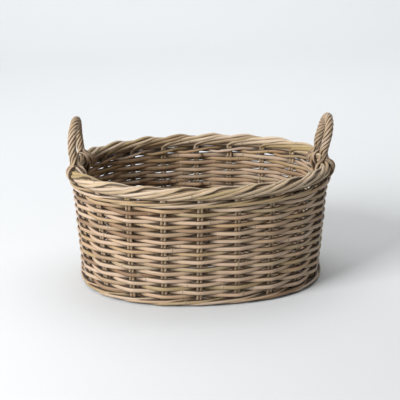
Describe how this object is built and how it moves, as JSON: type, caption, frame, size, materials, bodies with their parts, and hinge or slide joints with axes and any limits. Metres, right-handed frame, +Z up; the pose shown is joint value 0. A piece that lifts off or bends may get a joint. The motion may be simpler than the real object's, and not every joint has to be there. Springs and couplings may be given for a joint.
{
  "type": "wicker log basket",
  "caption": "Oval open-topped log basket woven from thick rattan rods, with a rolled rope-like border and two upright wrapped bow handles.",
  "frame": {"origin": "middle of the footprint, on the floor", "axes": "+Z up, +X along the oval's long axis towards the right handle, +Y away from the viewer"},
  "size_m": [0.5238, 0.3888, 0.319],
  "materials": {
    "siding_rattan": "natural unvarnished grey-brown rattan, satin",
    "stake_rattan": "natural unvarnished rattan, satin",
    "border_rattan": "natural unvarnished rattan, satin",
    "handle_rattan": "natural unvarnished thin rattan, satin",
    "base_rattan": "natural unvarnished rattan, matte"
  },
  "bodies": {
    "root": {"foot_ring": "base_rattan", "base_cross_sticks": "base_rattan", "base_long_sticks": "base_rattan", "base_weave_inner": "base_rattan", "base_weave_middle": "base_rattan", "base_weave_outer": "base_rattan", "bottom_wale_lower": "siding_rattan", "bottom_wale_upper": "siding_rattan", "top_wale": "siding_rattan", "weave_row_01": "siding_rattan", "weave_row_02": "siding_rattan", "weave_row_03": "siding_rattan", "weave_row_04": "siding_rattan", "weave_row_05": "siding_rattan", "weave_row_06": "siding_rattan", "weave_row_07": "siding_rattan", "weave_row_08": "siding_rattan", "weave_row_09": "siding_rattan", "weave_row_10": "siding_rattan", "weave_row_11": "siding_rattan", "weave_row_12": "siding_rattan", "weave_row_13": "siding_rattan", "weave_row_14": "siding_rattan", "weave_row_15": "siding_rattan", "weave_row_16": "siding_rattan", "weave_row_17": "siding_rattan", "weave_row_18": "siding_rattan", "weave_row_19": "siding_rattan", "weave_row_20": "siding_rattan", "weave_row_21": "siding_rattan", "weave_row_22": "siding_rattan", "weave_row_23": "siding_rattan", "stake_pair_01": "stake_rattan", "stake_pair_02": "stake_rattan", "stake_pair_03": "stake_rattan", "stake_pair_04": "stake_rattan", "stake_pair_05": "stake_rattan", "stake_pair_06": "stake_rattan", "stake_pair_07": "stake_rattan", "stake_pair_08": "stake_rattan", "stake_pair_09": "stake_rattan", "stake_pair_10": "stake_rattan", "stake_pair_11": "stake_rattan", "stake_pair_12": "stake_rattan", "stake_pair_13": "stake_rattan", "stake_pair_14": "stake_rattan", "stake_pair_15": "stake_rattan", "stake_pair_16": "stake_rattan", "stake_pair_17": "stake_rattan", "stake_pair_18": "stake_rattan", "stake_pair_19": "stake_rattan", "stake_pair_20": "stake_rattan", "border_core": "border_rattan", "border_strands": "border_rattan", "left_handle_bow": "handle_rattan", "left_handle_wrapping": "handle_rattan", "left_handle_lashings": "handle_rattan", "right_handle_bow": "handle_rattan", "right_handle_wrapping": "handle_rattan", "right_handle_lashings": "handle_rattan"}
  },
  "joints": []
}
